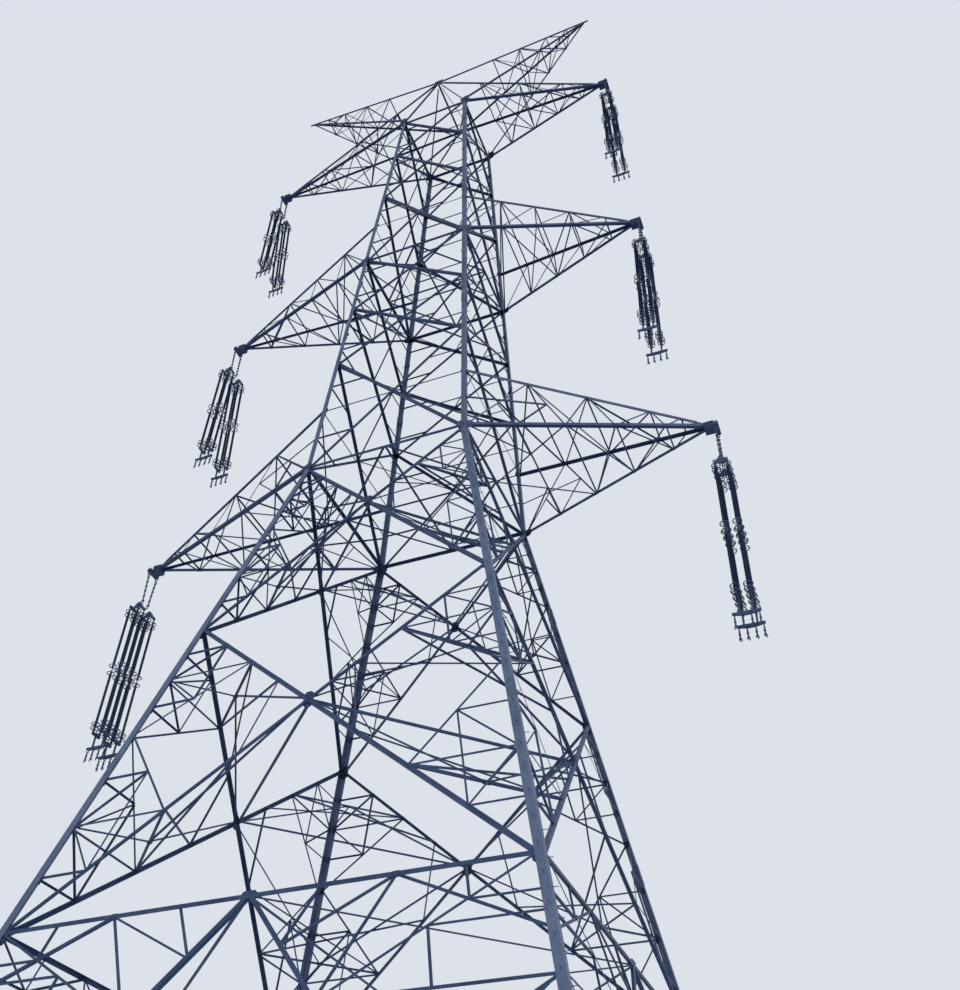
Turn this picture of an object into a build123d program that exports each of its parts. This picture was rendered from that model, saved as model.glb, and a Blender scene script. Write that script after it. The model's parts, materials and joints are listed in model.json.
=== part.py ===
"""Lattice transmission pylon for two three-phase circuits, drawn at half of its real size.

Millimetres.  X runs along the crossarms, Y along the line of the wires, Z up from the ground.
The tower axis is X = Y = 0.  "front" is -Y, "back" +Y, "right" +X and "left" -X.
Every side of the steelwork is a flat truss.  Its bars are drawn as strips in the plane of that
side, joined there, and thickened inward.  An angle bar is two strips along one edge: a wide one
for the flange in the plane, and a narrow one, thickened further, for the flange standing inward.
"""

import os
from math import hypot, radians, tan

from build123d import *

# Levels above ground
WAIST_Z = 16770.0  # legs bend here, and the lower arms start
ARM_PITCH = 8155.0  # from one phase down to the next
MIDDLE_Z = WAIST_Z + ARM_PITCH
TOP_Z = MIDDLE_Z + ARM_PITCH
PHASE_Z = {"lower": WAIST_Z, "middle": MIDDLE_Z, "top": TOP_Z}
ARM_RISE = {"lower": 1890.0, "middle": 1740.0}  # depth of an arm at the body
RIDGE_Z = TOP_Z + 2290.0  # peak of the body
EARTH_TIP_Z = TOP_Z + 5060.0  # ends of the two earth-wire arms
BELT_Z = 6280.0  # horizontal belt above the open base
LOWER_CROSS_Z = 12050.0  # where the two lower crosses meet at the legs
UPPER_CROSS_Z = [20420.0, 22685.0, MIDDLE_Z, 28340.0, 30850.0]  # the same, above the waist

# Half widths of the square body
WAIST_HALF = 1875.0
TOP_HALF = 1097.0
LEG_FLARE = 0.21  # outward run of a leg per unit of drop, below the waist
BODY_TAPER = (WAIST_HALF - TOP_HALF) / (TOP_Z - WAIST_Z)
BASE_HALF = WAIST_HALF + LEG_FLARE * WAIST_Z
RIDGE_HALF = 984.0  # the ridge runs this far to the front and to the back

# Reach of the arms from the tower axis (the left ones are longer)
REACH_RIGHT = {"lower": 6711.0, "middle": 5814.0, "top": 5455.0, "earth": 5090.0}
REACH_LEFT = {"lower": 7072.0, "middle": 6326.0, "top": 6115.0, "earth": 5757.0}

# Bars
LAP_CLEARANCE = 0.3  # paint gap between a bar and what it is bolted to
LOWER_LEG = 128.0  # flange of the leg angle
UPPER_LEG = 105.0
LEG_T = 12.0
GAUGE = 88.0  # bolt line of the bracing, from the heel of the leg
BELT_BAR = 70.0  # the belt above the open base
MAIN_BAR = 64.0  # crosses and the other belts
MAIN_T = 6.0
PLAN_BAR = 52.0
SUB_BAR = 36.0  # secondary bracing
SUB_T = 5.0
LOWER_CHORD = 78.0  # long edges of the arms
UPPER_CHORD = 54.0
EARTH_CHORD = 50.0
CHORD_T = 7.0
WEB_INSET = 12.0  # ends of the bars across an arm, from the heels of its chords

# Bracing nodes, as shares of the way along the bar that carries them
BASE_NODES = (0.25, 0.5, 0.75)  # up the inverted V, from the foot
CROSS_NODE = 0.5  # from a leg to the middle of a cross
LOWER_CHORD_NODES = (0.0, 0.2, 0.4, 0.6, 0.8)  # from the body to the tip
UPPER_CHORD_NODES = (0.0, 0.26, 0.5, 0.75, 0.87)
MIDDLE_ARM_NODES = (0.0, 0.21, 0.41, 0.61, 0.81)
EARTH_LOWER_NODES = (0.0, 0.42, 0.6, 0.78)
EARTH_UPPER_NODES = (0.0, 0.36, 0.54, 0.72, 0.86)

# Feet
FOOT_SIDE = 340.0
FOOT_T = 26.0
FOOT_INSET = 30.0  # centre of a base plate, inside the heel of its leg
BRACE_FOOT = 150.0  # the base bracing starts this far over a base plate
ANCHOR_R = 14.0
ANCHOR_HALF = 125.0  # anchor holes, from the centre of the base plate

# Peak
EAVE_PLATE = 150.0  # length of the plates over the legs
EAVE_HEIGHT = 260.0
EARTH_FOOT = 156.0  # the earth arms start this far over the legs
RIDGE_PLATE = 300.0  # side of the plates at the two ends of the ridge

# Arm tips
SHOE_START = 235.0  # the box that gathers the chords starts this far inside the tip
SHOE_HALF = 100.0
SHOE_HEIGHT = 200.0
SHOE_DROP = 110.0  # underside of the box, under the lower chords
BEAM_INNER = 25.0  # the beam that the strings hang from, inward and outward of the tip
BEAM_OUTER = 65.0
BEAM_HEIGHT = 90.0
HANGER_HALF = 150.0  # the two hangers of an arm, from its centre line
HANGER_MARGIN = 20.0  # beam beyond a hanger
GUSSET_T = 12.0  # upright plate at the end of an earth arm
GUSSET_LENGTH = 300.0
GUSSET_NOSE = 45.0  # the plate goes on past the tip by this much
LUG_DEPTH = 130.0
EYE_DEPTH = 80.0  # eye of the earth wire, under the tip
EYE_R = 13.0

# Insulator sets, heights below the hanger point
SET_HALF = 200.0  # centre line of a set of four strings, from that of the arm
STRING_X = 120.0  # a string, from the centre of its set
STRING_Y = 100.0
ROD_R = 28.0  # a long rod with its sheds, two in series
LINK_R = 13.0
YOKE_T = 14.0
YOKE_TOP = 960.0
YOKE_DEPTH = 150.0
YOKE_NECK = 30.0  # half width of the upper yoke, under its chain
CROSS_DEPTH = 60.0  # cross bars that join the strings in pairs
CROSS_WIDTH = 40.0
ROD_TOP = YOKE_TOP + YOKE_DEPTH + CROSS_DEPTH
ROD_END = 4450.0
WIRE_YOKE_TOP = 4760.0
WIRE_YOKE_DEPTH = 110.0
WIRE_YOKE_HALF = 265.0
CLAMP_DROP = 280.0
SPLAY = {"lower": 0.0, "middle": 2.2, "top": 2.2}  # degrees, either set away from the arm
SWING_RIGHT = {"lower": 1.1, "middle": 1.5, "top": 0.0}  # degrees, towards the tower
SWING_LEFT = {"lower": 0.3, "middle": 1.8, "top": 3.0}


def half_width(z):
    """Half width of the body, at the heels of the legs."""
    if z < WAIST_Z:
        return WAIST_HALF + LEG_FLARE * (WAIST_Z - z)
    return WAIST_HALF - BODY_TAPER * (z - WAIST_Z)


def heel(sx, sy, z):
    """Point on the heel of a leg; sx and sy pick the corner."""
    return Vector(sx * half_width(z), sy * half_width(z), z)


def between(a, b, share):
    """Point a share of the way from a to b."""
    return a + (b - a) * share


def slab(x, y, z):
    """Plate or bar that stands on the origin."""
    return Box(x, y, z, align=(Align.CENTER, Align.CENTER, Align.MIN))


def hung(x, y, z):
    """Plate or bar that hangs under the origin."""
    return Box(x, y, z, align=(Align.CENTER, Align.CENTER, Align.MAX))


class Face:
    """A flat truss under construction: bars are added between points that lie in its plane."""

    def __init__(self, origin, along, other):
        x_dir = (along - origin).normalized()
        z_dir = x_dir.cross(other - origin).normalized()
        self.plane = Plane(origin=origin, x_dir=x_dir, z_dir=z_dir)
        self.layers = {}

    def sink(self, depth):
        """Move the whole face inward."""
        self.plane = self.plane.offset(depth)

    def local(self, point):
        """A point's place in the plane of the face."""
        flat = self.plane.to_local_coords(point)
        return Vector(flat.X, flat.Y)

    def bar(self, a, b, width=SUB_BAR, depth=SUB_T, shift=0.0):
        """Add a strip from a to b; shift moves it to the left of that direction."""
        start, end = self.local(a), self.local(b)
        run = end - start
        middle = start + run * 0.5 + Vector(-run.Y, run.X).normalized() * shift
        turn = Vector(1, 0).get_signed_angle(run, Vector(0, 0, 1))
        strip = Pos(middle.X, middle.Y) * Rot(0, 0, turn) * Rectangle(run.length, width)
        self.layers.setdefault(depth, []).append(strip)

    def angle(self, a, b, width=MAIN_BAR, thickness=MAIN_T):
        """Add an angle bar centred on the line from a to b."""
        self.bar(a, b, width, thickness)
        self.bar(a, b, thickness, width, shift=(thickness - width) / 2)

    def flat(self, a, b):
        """Add a flat bar as wide as the main angles."""
        self.bar(a, b, MAIN_BAR, MAIN_T)

    def chord(self, a, b, width, side):
        """Add an angle bar with its heel on the line; it lies to the left if side is 1, right if -1."""
        self.bar(a, b, width, CHORD_T, shift=side * width / 2)
        self.bar(a, b, CHORD_T, width, shift=side * CHORD_T / 2)

    def solid(self, outline=None):
        """Thicken every layer inward; outline, if given, is the area that the bars may fill."""
        parts = []
        edge = None
        if outline:
            corners = [self.local(point) for point in outline]
            edge = make_face(Polyline(*corners, close=True))
        for depth, strips in self.layers.items():
            sheet = Sketch() + strips
            if edge:
                sheet = sheet & edge
            parts.append(extrude(sheet, depth))
        return self.plane.location * (Part() + parts)


# Body
def leg(z_low, z_high, flange):
    """Front-right leg between two levels, an angle bar with its heel outward."""
    profile = Polyline(
        (0, 0), (-flange, 0), (-flange, LEG_T), (-LEG_T, LEG_T), (-LEG_T, flange), (0, flange),
        close=True,
    )
    low, high = heel(1, -1, z_low), heel(1, -1, z_high)
    section = Location(low) * make_face(profile)
    return Part() + Solid.extrude(section.face(), high - low)


def base_plate():
    """Plate under the front-right leg, with its four anchor holes."""
    centre = BASE_HALF - FOOT_INSET
    hole = Cylinder(ANCHOR_R, FOOT_T, align=(Align.CENTER, Align.CENTER, Align.MIN))
    holes = GridLocations(2 * ANCHOR_HALF, 2 * ANCHOR_HALF, 2, 2) * hole
    return Pos(centre, -centre, 0) * (slab(FOOT_SIDE, FOOT_SIDE, FOOT_T) - holes)


def inner(u_share, z):
    """Point in the front face just inside the leg flanges; u_share runs from -1 to 1."""
    inset = LEG_T + LAP_CLEARANCE
    return Vector(u_share * half_width(z), -(half_width(z) - inset), z)


def bolt_line(side, z):
    """Where the bracing of the front face is bolted to a leg."""
    return inner(side, z) - Vector(side * GAUGE, 0, 0)


def front_face(z_low, z_high):
    """Empty front face, thickened inward from the leg flanges."""
    return Face(inner(0, z_low), inner(-1, z_low), inner(0, z_high))


def cross(add, z_low, z_high):
    """Add the two crossing bars of one panel, and give the point where they cross."""
    add(bolt_line(-1, z_low), bolt_line(1, z_high))
    add(bolt_line(1, z_low), bolt_line(-1, z_high))
    low, high = bolt_line(1, z_low).X, bolt_line(1, z_high).X
    return inner(0, z_low + (z_high - z_low) * low / (low + high))


def props(face, z_low, z_high, middle):
    """Prop the four half bars of a cross against the legs."""
    for side in (-1, 1):
        for end in (z_low, z_high):
            node = between(bolt_line(side, end), middle, CROSS_NODE)
            face.bar(node, bolt_line(side, node.Z))
            face.bar(node, bolt_line(side, middle.Z))


def lower_face():
    """Front face from the belt up to the waist: two crosses, the belt, and their bracing."""
    face = front_face(BELT_Z, WAIST_Z)
    top = WAIST_Z - MAIN_BAR
    face.angle(bolt_line(-1, BELT_Z), bolt_line(1, BELT_Z), width=BELT_BAR)
    for z_low, z_high in ((BELT_Z, LOWER_CROSS_Z), (LOWER_CROSS_Z, top)):
        props(face, z_low, z_high, cross(face.angle, z_low, z_high))
    low = BELT_Z - MAIN_BAR
    return face.solid([bolt_line(-1, low), bolt_line(1, low), bolt_line(1, top), bolt_line(-1, top)])


def upper_face():
    """Front face from the waist up: six crosses, with belts where the arms start."""
    face = front_face(WAIST_Z, TOP_Z)
    low = WAIST_Z + MAIN_BAR / 2
    high = TOP_Z - MAIN_BAR / 2
    levels = [low, *UPPER_CROSS_Z, high]
    for z_low, z_high in zip(levels, levels[1:]):
        cross(face.flat, z_low, z_high)
    for z in (low, MIDDLE_Z, high):
        face.angle(bolt_line(-1, z), bolt_line(1, z))
    for phase, rise in ARM_RISE.items():
        z = PHASE_Z[phase] + rise
        face.bar(bolt_line(-1, z), bolt_line(1, z))
    corners = ((-1, WAIST_Z), (1, WAIST_Z), (1, TOP_Z), (-1, TOP_Z))
    return face.solid([bolt_line(side, z) for side, z in corners])


def base_brace():
    """Right half of the front face under the belt: one side of the inverted V."""
    top = BELT_Z - BELT_BAR / 2 - LAP_CLEARANCE
    foot = FOOT_T + BRACE_FOOT
    face = front_face(foot, BELT_Z)
    apex = inner(0, BELT_Z) + Vector(MAIN_BAR / 2, 0, 0)
    start = bolt_line(1, foot)
    face.angle(start, apex)
    nodes = [between(start, apex, share) for share in BASE_NODES]
    levels = [node.Z for node in nodes] + [BELT_Z]
    for node, z, above in zip(nodes, levels, levels[1:]):
        face.bar(node, bolt_line(1, z))
        face.bar(node, bolt_line(1, above))
    axis = Vector(LAP_CLEARANCE, 0, 0)
    low = foot - MAIN_BAR
    return face.solid([inner(0, low) + axis, bolt_line(1, low), bolt_line(1, top), inner(0, top) + axis])


def plan_brace(z):
    """Level diamond inside the body, lying on the belts."""
    belt = MAIN_T * hypot(1, LEG_FLARE)
    reach = half_width(z + MAIN_T) - LEG_T - belt - 2 * LAP_CLEARANCE
    face = Face(Vector(0, 0, z), Vector(1, 0, z), Vector(0, 1, z))
    mids = [Vector(reach, 0, z), Vector(0, reach, z), Vector(-reach, 0, z), Vector(0, -reach, z)]
    for a, b in [*zip(mids, mids[1:] + mids[:1]), *zip(mids[:2], mids[2:])]:
        face.bar(a, b, width=PLAN_BAR, depth=MAIN_T)
    corners = ((1, -1), (1, 1), (-1, 1), (-1, -1))
    return face.solid([Vector(sx * reach, sy * reach, z) for sx, sy in corners])


def four_ways(part):
    """The same part at the front, right, back and left of the tower."""
    return [part.rotate(Axis.Z, 90 * turn) for turn in range(4)]


# Peak
def ridge_end(sy):
    """Where the chords of the arms meet, at an end of the ridge."""
    return Vector(0, sy * RIDGE_HALF, RIDGE_Z)


def ridge_plate_y():
    """Middle of a ridge plate: the ends of the chords meet the upright edges of the plate."""
    drift = RIDGE_HALF * RIDGE_PLATE / 2 / REACH_RIGHT["top"]
    return RIDGE_HALF - drift - CHORD_T / 2


def slope():
    """Right slope of the peak: two bars from each leg top, and the plates that the arms meet."""
    feet = [Vector(TOP_HALF - LEG_T / 2, sy * (TOP_HALF - MAIN_BAR / 2), TOP_Z) for sy in (1, -1)]
    tops = [Vector(0, sy * ridge_plate_y(), RIDGE_Z) for sy in (1, -1)]
    face = Face(feet[0], feet[1], tops[0])
    for foot in feet:
        for top in tops:
            face.bar(foot, top, width=MAIN_BAR, depth=MAIN_T)
    plate = slab(LEG_T, EAVE_PLATE, EAVE_HEIGHT)
    eaves = TOP_Z + LAP_CLEARANCE
    plates = [Pos(TOP_HALF - LEG_T / 2, sy * (TOP_HALF - EAVE_PLATE / 2), eaves) * plate for sy in (-1, 1)]
    below = Pos(0, 0, eaves) * hung(4 * TOP_HALF, 4 * TOP_HALF, EAVE_HEIGHT)
    side = RIDGE_PLATE + 2 * LAP_CLEARANCE
    ridge = Pos(0, 0, RIDGE_Z) * Box(side, 4 * TOP_HALF, side)
    return face.solid() + plates - below - ridge


def peak_frame():
    """Two slopes, the ridge bar, and the plates at its ends that take the arms."""
    y = ridge_plate_y()
    plates = [Pos(0, sy * y, RIDGE_Z) * Box(RIDGE_PLATE, LEG_T, RIDGE_PLATE) for sy in (-1, 1)]
    ridge = Pos(0, 0, RIDGE_Z - RIDGE_PLATE / 2) * slab(MAIN_BAR, 2 * (y - LEG_T / 2 - LAP_CLEARANCE), MAIN_T)
    right = slope()
    return Part() + [right, right.mirror(Plane.YZ), ridge, *plates]


# Arms.  Bars are listed as pairs of nodes: on the lower and the upper chord for the sides,
# and on the front and the back chord for what lies across the arm.
LOWER_SIDE = [(0, 1), (2, 1), (2, 2), (3, 2), (3, 3), (4, 3), (4, 4)]
LOWER_UNDER = [(2, 3), (3, 2), (3, 4), (4, 3)]
LOWER_OVER = [(1, 0), (1, 2), (3, 2)]
MIDDLE_SIDE = [(0, 1), (1, 1), (1, 2), (2, 2), (2, 3), (3, 3), (3, 4), (4, 4)]
MIDDLE_ACROSS = [(1, 0), (1, 2), (3, 2), (3, 4)]
TOP_SIDE = LOWER_SIDE[1:]
TOP_UNDER = [(1, 2), (3, 2), (3, 4)]
TOP_OVER = [(1, 2), (3, 2)]
EARTH_SIDE = [(1, 1), (1, 2), (2, 2), (2, 3), (3, 3), (3, 4)]
EARTH_UNDER = [(1, 2), (3, 2)]
EARTH_OVER = [(1, 2), (3, 2), (3, 4)]


class Chord:
    """Front edge of an arm, from the body to the tip, with its bracing nodes."""

    def __init__(self, root, tip, width, shares):
        self.root, self.tip, self.width = root, tip, width
        self.nodes = [between(root, tip, share) for share in shares]

    def back(self):
        """The same nodes on the back edge."""
        return [Vector(node.X, -node.Y, node.Z) for node in self.nodes]


def side_truss(lower, upper, pairs):
    """Front side of an arm: its two chords, with their heels outward, and the bars between them."""
    face = Face(upper.root, upper.tip, lower.root)
    face.chord(upper.root, upper.tip, upper.width, 1)
    face.chord(lower.root, lower.tip, lower.width, -1)
    for low, high in pairs:
        face.bar(lower.nodes[low], upper.nodes[high])
    return face


def across(chord, pairs, flange, under):
    """Bars between a chord and its twin at the back, lying on the inside of their flanges.

    flange is the direction in which those flanges stand; under is true for the lower chords.
    """
    front, back = chord.nodes, chord.back()
    first, second = (front[0], back[0]) if under else (back[0], front[0])
    face = Face(first, chord.tip, second)
    lean = flange.dot(face.plane.z_dir)
    face.sink(CHORD_T + LAP_CLEARANCE + max(lean * chord.width, lean * WEB_INSET))
    for a, b in pairs:
        face.bar(front[a], back[b])
    inset = WEB_INSET / (second - first).length
    middle = between(first, second, 0.5)
    apex = between(chord.tip, middle, 2 * inset)
    return face, [between(first, second, inset), between(second, first, inset), apex]


def knee_braces(face, chord, middle, node):
    """Two bars from the middle of the body's belt to a node of each chord, propped half-way."""
    for nodes in (chord.nodes, chord.back()):
        knee = between(middle, nodes[node], 0.5)
        face.bar(middle, nodes[node])
        face.bar(knee, nodes[node - 1])
        face.bar(knee, nodes[0])


def body_core(*levels):
    """The space that the body takes up between some levels, with clearance."""
    slices = []
    for z in levels:
        side = 2 * (half_width(z) + LAP_CLEARANCE)
        slices.append((Pos(0, 0, z) * Rectangle(side, side)).face())
    return Part() + [loft([low, high]) for low, high in zip(slices, slices[1:])]


def peak_room():
    """Space kept for the leg tops and the peak, with clearance."""
    side = 2 * (TOP_HALF + LAP_CLEARANCE)
    eaves = Pos(0, 0, TOP_Z) * slab(side, 2 * side, EAVE_HEIGHT)
    plate = RIDGE_PLATE + 2 * LAP_CLEARANCE
    ridge = Pos(0, 0, RIDGE_Z) * Box(plate, 2 * side, 2 * plate)
    return body_core(TOP_Z - EAVE_HEIGHT, TOP_Z) + eaves + ridge


def past(x, y):
    """Everything further out than x, and everything behind y."""
    size = 2 * EARTH_TIP_Z
    outer = Pos(x, 0, TOP_Z) * Box(size, size, size, align=(Align.MIN, Align.CENTER, Align.CENTER))
    behind = Pos(0, y, TOP_Z) * Box(size, size, size, align=(Align.CENTER, Align.MIN, Align.CENTER))
    return outer, behind


def tip_shoe(reach, z):
    """Box that gathers the chords, and the beam that the strings hang from."""
    box = slab(SHOE_START - BEAM_INNER, 2 * SHOE_HALF, SHOE_HEIGHT)
    beam = slab(BEAM_INNER + BEAM_OUTER, 2 * (HANGER_HALF + HANGER_MARGIN), BEAM_HEIGHT)
    box_x = -(SHOE_START + BEAM_INNER) / 2
    beam_x = (BEAM_OUTER - BEAM_INNER) / 2
    return Pos(reach, 0, z - SHOE_DROP) * (Pos(box_x, 0, 0) * box + Pos(beam_x, 0, 0) * beam)


def phase_arm(phase, reach):
    """Arm on the right of the tower that carries one phase: two sides, two panels and a shoe."""
    z = PHASE_Z[phase]
    tip = Vector(reach, 0, z)
    if phase == "top":
        high = ridge_end(-1)
        room = peak_room()
    else:
        high = heel(1, -1, z + ARM_RISE[phase])
        room = body_core(z - LOWER_CHORD, z, z + 2 * ARM_RISE[phase])
    lower_nodes, upper_nodes = LOWER_CHORD_NODES, UPPER_CHORD_NODES
    if phase == "middle":
        lower_nodes = upper_nodes = MIDDLE_ARM_NODES
    lower = Chord(heel(1, -1, z), tip, LOWER_CHORD, lower_nodes)
    upper = Chord(high, tip, UPPER_CHORD, upper_nodes)
    side_pairs, under_pairs, over_pairs = {
        "lower": (LOWER_SIDE, LOWER_UNDER, LOWER_OVER),
        "middle": (MIDDLE_SIDE, MIDDLE_ACROSS, MIDDLE_ACROSS),
        "top": (TOP_SIDE, TOP_UNDER, TOP_OVER),
    }[phase]

    side = side_truss(lower, upper, side_pairs)
    flange = side.plane.z_dir
    under, under_outline = across(lower, under_pairs, flange, under=True)
    over, over_outline = across(upper, over_pairs, flange, under=False)
    if phase == "lower":
        knee_braces(under, lower, Vector(half_width(z), 0, z), 2)
    outer, behind = past(reach - SHOE_START - LAP_CLEARANCE, -LAP_CLEARANCE / 2)
    front = side.solid([upper.root, tip, lower.root]) - room - outer - behind
    panels = [under.solid(under_outline) - room - outer, over.solid(over_outline) - room - outer]
    return Part() + [front, front.mirror(Plane.XZ), *panels, tip_shoe(reach, z)]


def tip_gusset(reach, upper, lower):
    """Upright plate between the front and the back of an earth arm, with the eye for the wire."""
    start = reach - GUSSET_LENGTH
    nose = reach + GUSSET_NOSE
    top, bottom = [between(chord.tip, chord.root, GUSSET_LENGTH / reach).Z for chord in (upper, lower)]
    outline = Polyline(
        (start, top), (nose, EARTH_TIP_Z), (nose, EARTH_TIP_Z - LUG_DEPTH),
        (reach - GUSSET_NOSE, EARTH_TIP_Z - LUG_DEPTH), (start, bottom),
        close=True,
    )
    eye = Pos(reach, EARTH_TIP_Z - EYE_DEPTH) * Circle(EYE_R)
    return extrude(Plane.XZ * (make_face(outline) - eye), GUSSET_T / 2, both=True)


def earth_arm(reach):
    """Arm on the right of the tower that carries an earth wire."""
    tip = Vector(reach, 0, EARTH_TIP_Z)
    lower = Chord(heel(1, -1, TOP_Z) + Vector(0, 0, EARTH_FOOT), tip, EARTH_CHORD, EARTH_LOWER_NODES)
    upper = Chord(ridge_end(-1), tip, EARTH_CHORD, EARTH_UPPER_NODES)
    side = side_truss(lower, upper, EARTH_SIDE)
    flange = side.plane.z_dir
    under, under_outline = across(lower, EARTH_UNDER, flange, under=True)
    over, over_outline = across(upper, EARTH_OVER, flange, under=False)
    room = peak_room()
    behind = past(reach, -GUSSET_T / 2 - LAP_CLEARANCE)[1]
    front = side.solid([upper.root, tip, lower.root]) - room - behind
    panels = [under.solid(under_outline) - room, over.solid(over_outline) - room]
    return Part() + [front, front.mirror(Plane.XZ), *panels, tip_gusset(reach, upper, lower)]


# Insulator sets
def rod(a, b, radius, sides=6):
    """Straight bar with flat sides."""
    run = b - a
    section = Plane(origin=a, z_dir=run) * RegularPolygon(radius, sides)
    return extrude(section, run.length)


def upright(x, width, top, bottom):
    """Strip of an upright plate, between two depths under the hanger."""
    return Pos(x, -(top + bottom) / 2) * Rectangle(width, bottom - top)


def cross_bars(depth):
    """The two bars that join the strings of a set in pairs, their tops at a depth."""
    bar = hung(CROSS_WIDTH, 2 * (STRING_Y + ROD_R), CROSS_DEPTH)
    return [Pos(sx * STRING_X, 0, -depth) * bar for sx in (-1, 1)]


def string_set(splay, swing):
    """Link chain, upper yoke and four strings of the front set, hanging from the origin.

    The chain starts low enough for its leaning end to clear the beam.
    """
    out = SET_HALF - HANGER_HALF
    lean = out / YOKE_TOP + tan(radians(splay)) + tan(radians(swing))
    chain = rod(Vector(0, 0, -LINK_R * lean), Vector(0, -out, -YOKE_TOP - YOKE_T), LINK_R)
    wide = STRING_X + CROSS_WIDTH / 2
    low = -YOKE_TOP - YOKE_DEPTH
    outline = Polyline((-YOKE_NECK, -YOKE_TOP), (-wide, low), (wide, low), (YOKE_NECK, -YOKE_TOP), close=True)
    plate = extrude(Plane.XZ * make_face(outline), YOKE_T / 2, both=True)
    solids = [plate, *cross_bars(YOKE_TOP + YOKE_DEPTH)]
    for x in (-STRING_X, STRING_X):
        for y in (-STRING_Y, STRING_Y):
            solids.append(rod(Vector(x, y, -ROD_TOP), Vector(x, y, -ROD_END), ROD_R))
    return chain + Pos(0, -out, 0) * (Part() + solids)


def wire_yoke():
    """Lower yoke of the front set: bars under the strings, and the plate with the wire eye."""
    out = SET_HALF - HANGER_HALF
    top = ROD_END + LAP_CLEARANCE
    plate_end = WIRE_YOKE_TOP + WIRE_YOKE_DEPTH
    clamp_x = WIRE_YOKE_HALF - YOKE_T / 2
    strips = [upright(0, 2 * WIRE_YOKE_HALF, WIRE_YOKE_TOP, plate_end)]
    for sx in (-1, 1):
        strips.append(upright(sx * STRING_X, CROSS_WIDTH, top, plate_end))
        strips.append(upright(sx * clamp_x, YOKE_T, WIRE_YOKE_TOP, plate_end + CLAMP_DROP))
    eye = Pos(0, -(WIRE_YOKE_TOP + plate_end) / 2) * Circle(EYE_R)
    plate = extrude(Plane.XZ * (Sketch() + strips - eye), YOKE_T / 2, both=True)
    return Pos(0, -out, 0) * (plate + cross_bars(top))


def hang(part, phase, reach, swing):
    """The front and the back copy of a piece of a set, under the tip of an arm."""
    front = Pos(0, -HANGER_HALF, 0) * part.rotate(Axis.X, -SPLAY[phase])
    back = front.rotate(Axis.Z, 180)
    place = Pos(reach, 0, PHASE_Z[phase] - SHOE_DROP - LAP_CLEARANCE) * Rot(0, swing, 0)
    return Part() + [place * front, place * back]


# All the pieces
def body_nodes():
    """The square tower, from its feet to its peak."""
    nodes = {}
    corners = ("front_right", "back_right", "back_left", "front_left")
    faces = ("front", "right", "back", "left")
    brace = base_brace()
    around = (
        ("leg_lower", corners, leg(FOOT_T / 2, WAIST_Z, LOWER_LEG) + base_plate()),
        ("leg_upper", corners, leg(WAIST_Z, TOP_Z, UPPER_LEG)),
        ("lattice_lower", faces, lower_face()),
        ("lattice_upper", faces, upper_face()),
        ("base_brace", corners, Part() + [brace, brace.mirror(Plane.XZ).rotate(Axis.Z, 90)]),
    )
    for name, sides, part in around:
        for side, copy in zip(sides, four_ways(part)):
            nodes[f"{name}_{side}"] = copy
    for name, z in (("belt", BELT_Z), ("waist", WAIST_Z + MAIN_BAR), ("middle", MIDDLE_Z)):
        nodes[f"plan_brace_{name}"] = plan_brace(z)
    nodes["peak_frame"] = peak_frame()
    return nodes


def arm_nodes(side, reaches, swings):
    """The arms of one side with what hangs from them; the left ones are mirrored."""
    parts = {f"arm_earth_{side}": earth_arm(reaches["earth"])}
    for phase in PHASE_Z:
        reach = reaches[phase]
        parts[f"arm_{phase}_{side}"] = phase_arm(phase, reach)
        strings = string_set(SPLAY[phase], swings[phase])
        parts[f"strings_{phase}_{side}"] = hang(strings, phase, reach, swings[phase])
        parts[f"wire_yokes_{phase}_{side}"] = hang(wire_yoke(), phase, reach, swings[phase])
    if side == "left":
        return {name: part.mirror(Plane.YZ) for name, part in parts.items()}
    return parts


def main():
    nodes = body_nodes()
    nodes.update(arm_nodes("right", REACH_RIGHT, SWING_RIGHT))
    nodes.update(arm_nodes("left", REACH_LEFT, SWING_LEFT))
    os.makedirs("parts", exist_ok=True)
    for name, part in nodes.items():
        export_step(part, f"parts/{name}.step")
        print(name, len(part.solids()), "solids", round(part.volume / 1e6, 1), "litres")


main()
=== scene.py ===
"""Looks of the lattice transmission pylon: weathered zinc steel, long-rod insulators, plain pale stage.
The colours of the steel and rubber hold painted backlit shade.

Metres, in the frame of the model: X along the crossarms, Y along the line, Z up from the ground.
Steelwork is drawn for the front face or the front-right corner and turned round the tower; bars run
between the bolt lines of the legs, on the inside of the main bracing.
"""

import json
from math import radians

import bmesh
import bpy
from mathutils import Matrix, Vector


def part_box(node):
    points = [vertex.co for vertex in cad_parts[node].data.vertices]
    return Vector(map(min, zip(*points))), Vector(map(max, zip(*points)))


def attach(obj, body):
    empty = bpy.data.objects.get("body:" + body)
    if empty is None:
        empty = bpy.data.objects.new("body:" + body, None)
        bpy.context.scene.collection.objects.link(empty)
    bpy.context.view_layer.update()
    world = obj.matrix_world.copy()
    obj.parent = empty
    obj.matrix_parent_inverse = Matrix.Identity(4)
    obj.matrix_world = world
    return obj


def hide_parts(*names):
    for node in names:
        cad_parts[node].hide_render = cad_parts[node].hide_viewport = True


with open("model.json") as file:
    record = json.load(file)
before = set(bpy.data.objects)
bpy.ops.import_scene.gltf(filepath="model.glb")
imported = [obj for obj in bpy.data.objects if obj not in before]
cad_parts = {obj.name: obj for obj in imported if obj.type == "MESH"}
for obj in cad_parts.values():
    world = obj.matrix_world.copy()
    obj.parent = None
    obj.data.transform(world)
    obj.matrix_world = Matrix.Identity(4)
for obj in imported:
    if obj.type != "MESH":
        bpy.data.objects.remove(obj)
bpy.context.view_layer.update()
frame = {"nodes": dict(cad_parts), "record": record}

# Camera, at eye height in front of the tower and turned up to its peak
EYE = Vector((7.8719, -15.5484, 0.800))
YAW = radians(22.4045)
PITCH = radians(43.0876)
ROLL = radians(1.3021)
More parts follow.
